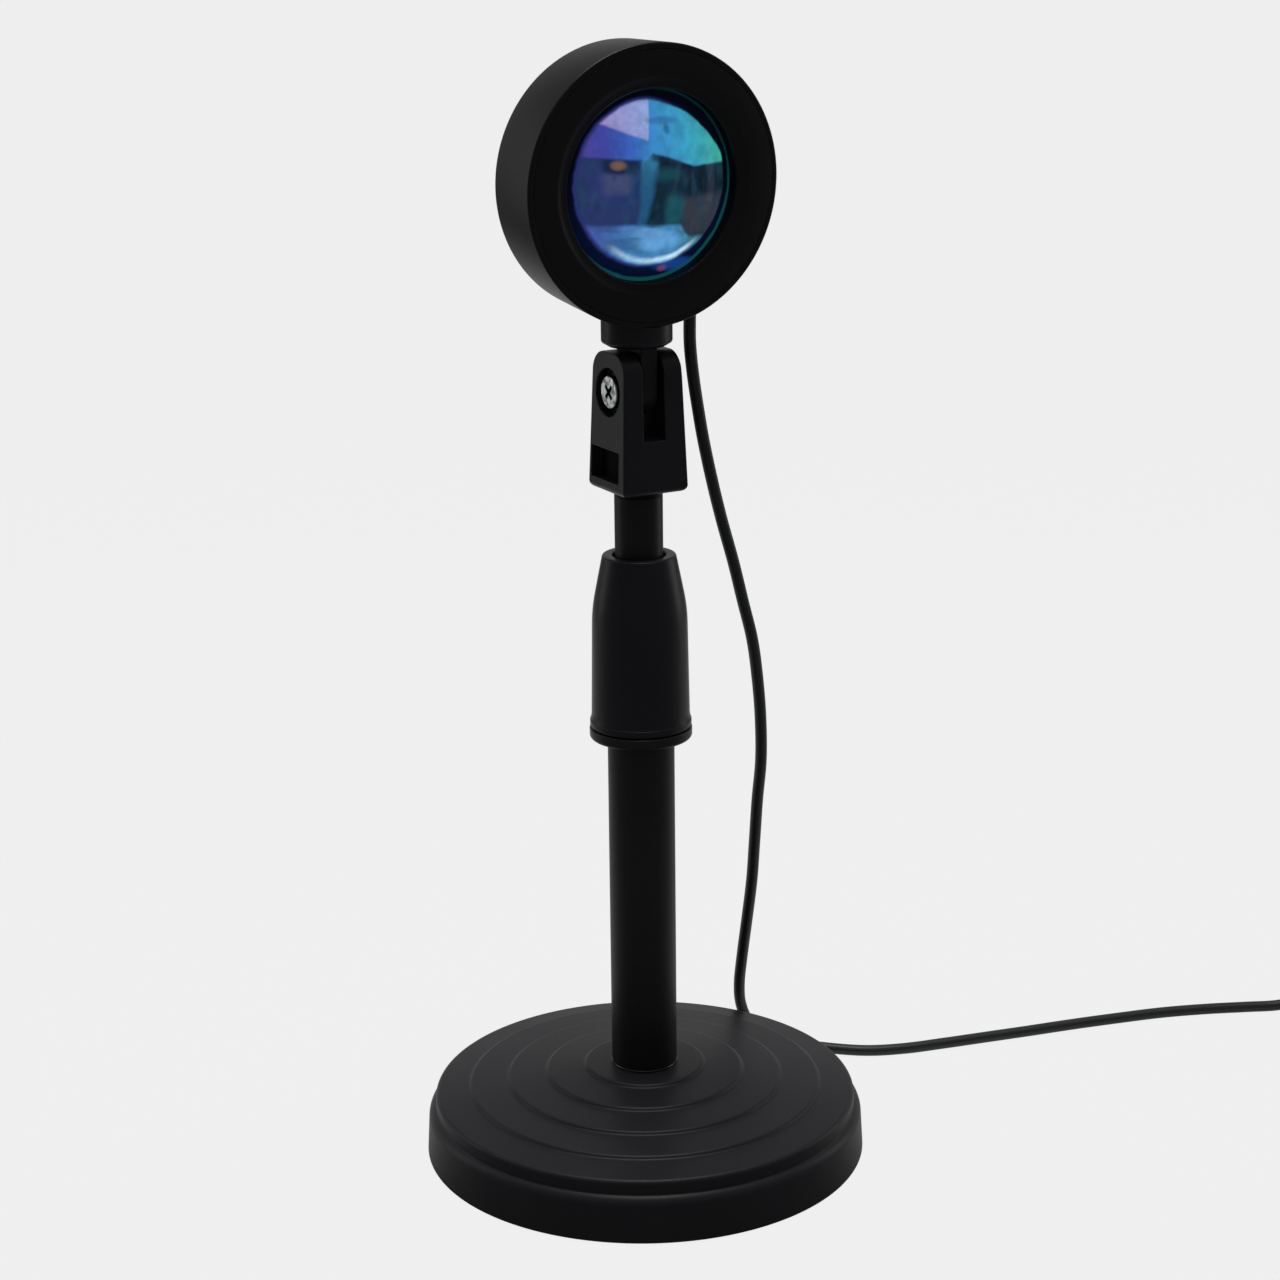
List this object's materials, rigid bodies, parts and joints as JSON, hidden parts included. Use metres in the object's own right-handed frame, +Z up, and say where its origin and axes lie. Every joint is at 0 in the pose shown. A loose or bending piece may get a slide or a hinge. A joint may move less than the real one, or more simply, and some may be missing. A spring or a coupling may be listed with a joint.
{
  "type": "projection lamp",
  "caption": "Table lamp with a round drum head and a dome lens, on a tilting clip and a sliding rod over a round stepped base, with a switch, a coiled cord and a plug.",
  "frame": {"origin": "on the table under the middle of the base, on the post's axis", "axes": "+Z up along the post; the lamp faces -Y; +X is the side where the cord leaves the head"},
  "size_m": [0.4318, 0.1973, 0.373],
  "materials": {
    "powder_black": "powder coat, satin black",
    "rod_black": "satin black",
    "cast_weight": "raw casting",
    "pad_rubber": "matte",
    "zinc_steel": "zinc plated",
    "foot_steel": "turned",
    "collar_plastic": "satin, moulded black",
    "collet_plastic": "moulded, self-lubricating",
    "bush_plastic": "moulded, natural",
    "clip_plastic": "satin, moulded black",
    "insert_brass": "turned",
    "nylon": "natural nylon",
    "head_aluminium": "black, satin",
    "clear_rubber": "translucent silicone",
    "lens_glass": "polished, with a colour coat",
    "filter_film": "coloured film",
    "reflector_white": "white",
    "board_white": "white solder mask",
    "led_phosphor": "silicone over phosphor",
    "bare_aluminium": "bare",
    "cord_rubber": "black sheath, matte",
    "lead_wire": "insulated wire",
    "switch_plastic": "moulded black",
    "button_plastic": "moulded",
    "core_plastic": "moulded",
    "plug_plastic": "overmoulded",
    "plug_steel": "nickel plated",
    "tongue_plastic": "moulded",
    "contact_gold": "gold plated",
    "tie_plastic": "flexible strap"
  },
  "bodies": {
    "stand": {"base_shell": "powder_black", "base_weight": "cast_weight", "base_pad": "pad_rubber", "base_bolt": "zinc_steel", "bolt_washer": "zinc_steel", "foot_washer": "foot_steel", "foot_plug": "foot_steel", "outer_tube": "powder_black", "collar_ring": "collar_plastic", "cord_run": "cord_rubber", "switch_base": "switch_plastic", "switch_cover": "switch_plastic", "switch_core": "core_plastic", "switch_reliefs": "cord_rubber", "cord_link": "cord_rubber", "cord_coil": "cord_rubber", "coil_tie": "tie_plastic", "cord_tail": "cord_rubber", "plug_body": "plug_plastic", "plug_shell": "plug_steel", "plug_tongue": "tongue_plastic", "plug_contacts": "contact_gold"},
    "sleeve": {"twist_sleeve": "collar_plastic"},
    "collet": {"collet": "collet_plastic"},
    "rod": {"inner_rod": "rod_black", "rod_bush": "bush_plastic", "rod_stud": "zinc_steel"},
    "clip": {"clip_body": "clip_plastic", "thread_insert": "insert_brass", "hinge_screw": "zinc_steel", "hinge_nut": "zinc_steel", "hinge_washers": "nylon"},
    "head": {"neck": "clip_plastic", "neck_screws": "zinc_steel", "lamp_housing": "head_aluminium", "front_bezel": "head_aluminium", "lens_gasket": "clear_rubber", "front_lens": "lens_glass", "colour_filter": "filter_film", "lens_retainer": "head_aluminium", "reflector": "reflector_white", "led_chip": "led_phosphor", "led_board": "board_white", "board_screws": "zinc_steel", "heat_spreader": "bare_aluminium", "back_cover": "head_aluminium", "cover_screws": "zinc_steel", "cord_grommet": "cord_rubber", "cord_clamp": "nylon", "cord_inner": "cord_rubber", "inner_leads": "lead_wire"},
    "button": {"switch_button": "button_plastic"}
  },
  "joints": [
    {"name": "sleeve_twist", "type": "hinge", "parent": "stand", "child": "sleeve", "pos_m": [0, 0, 0.18], "axis": [0, 0, 1], "range_deg": [0, 180]},
    {"name": "collet_drop", "type": "slide", "parent": "stand", "child": "collet", "axis": [0, 0, -1], "range_m": [0, 0.001]},
    {"name": "rod_slide", "type": "slide", "parent": "stand", "child": "rod", "axis": [0, 0, 1], "range_m": [0, 0.1]},
    {"name": "clip_swivel", "type": "hinge", "parent": "rod", "child": "clip", "pos_m": [0, 0, 0.2309], "axis": [0, 0, 1], "range_deg": [-180, 180]},
    {"name": "head_tilt", "type": "hinge", "parent": "clip", "child": "head", "pos_m": [0, 0, 0.2636], "axis": [1, 0, 0], "range_deg": [-90, 90]},
    {"name": "button_press", "type": "slide", "parent": "stand", "child": "button", "axis": [0, 0, -1], "range_m": [0, 0.0012], "stiffness_N_per_m": 400, "springref_m": -0.001}
  ],
  "couplings": [
    {"joint": "collet_drop", "follows": "sleeve_twist", "m_per_rad": 0.000318}
  ]
}
